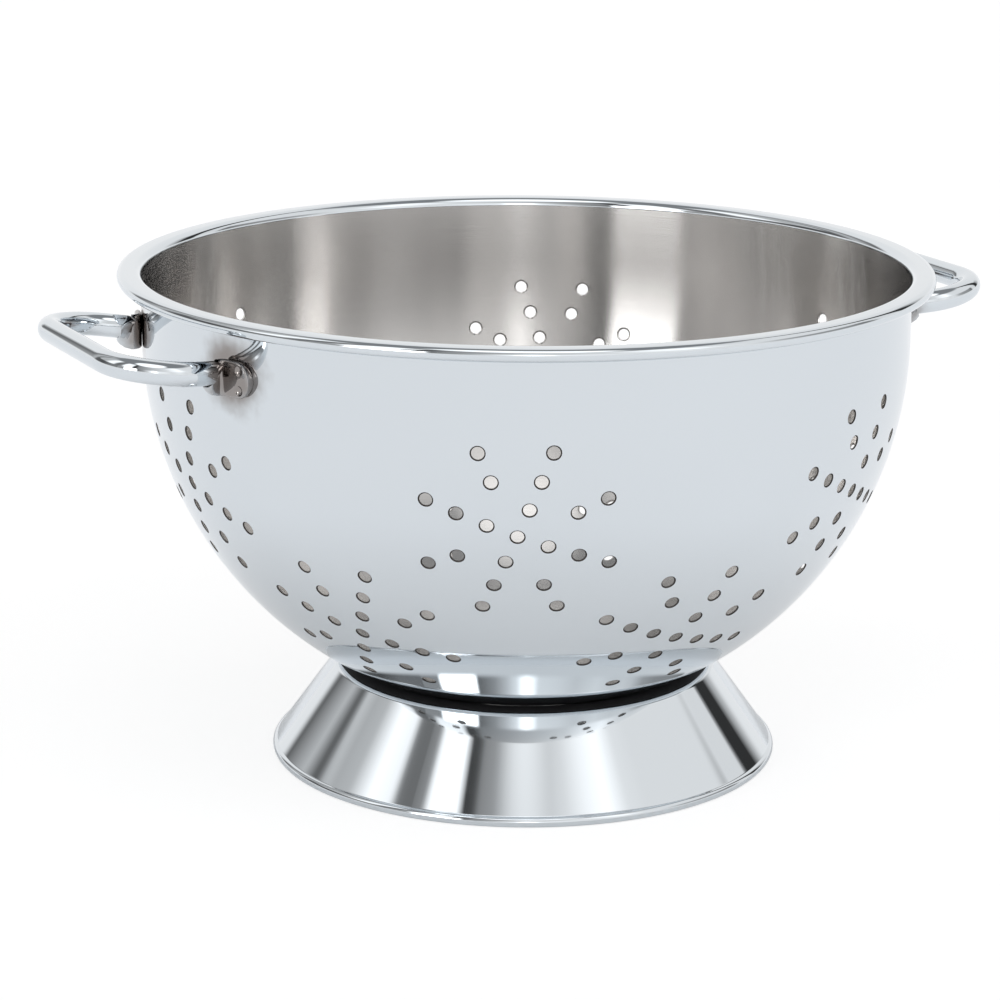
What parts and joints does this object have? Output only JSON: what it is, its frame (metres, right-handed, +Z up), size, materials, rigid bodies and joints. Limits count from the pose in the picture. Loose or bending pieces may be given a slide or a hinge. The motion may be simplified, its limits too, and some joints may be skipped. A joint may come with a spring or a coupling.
{
  "type": "colander",
  "caption": "Footed stainless-steel colander: deep perforated bowl with star drain holes, rolled rim, flared foot ring and two bent tube handles.",
  "frame": {"origin": "centre of the plane that the foot ring stands on", "axes": "+Z up along the bowl's axis, the two handles along +X and -X"},
  "size_m": [0.3336, 0.28, 0.1734],
  "materials": {
    "bowl_steel": "stainless sheet, mirror polished outside and spun brushed inside",
    "polished_steel": "stainless steel, mirror polished",
    "weld_steel": "stainless weld nugget, dull grey"
  },
  "bodies": {
    "root": {"bowl": "bowl_steel", "foot_ring": "polished_steel", "left_handle": "polished_steel", "right_handle": "polished_steel", "handle_spot_welds": "weld_steel", "foot_spot_welds": "weld_steel"}
  },
  "joints": []
}
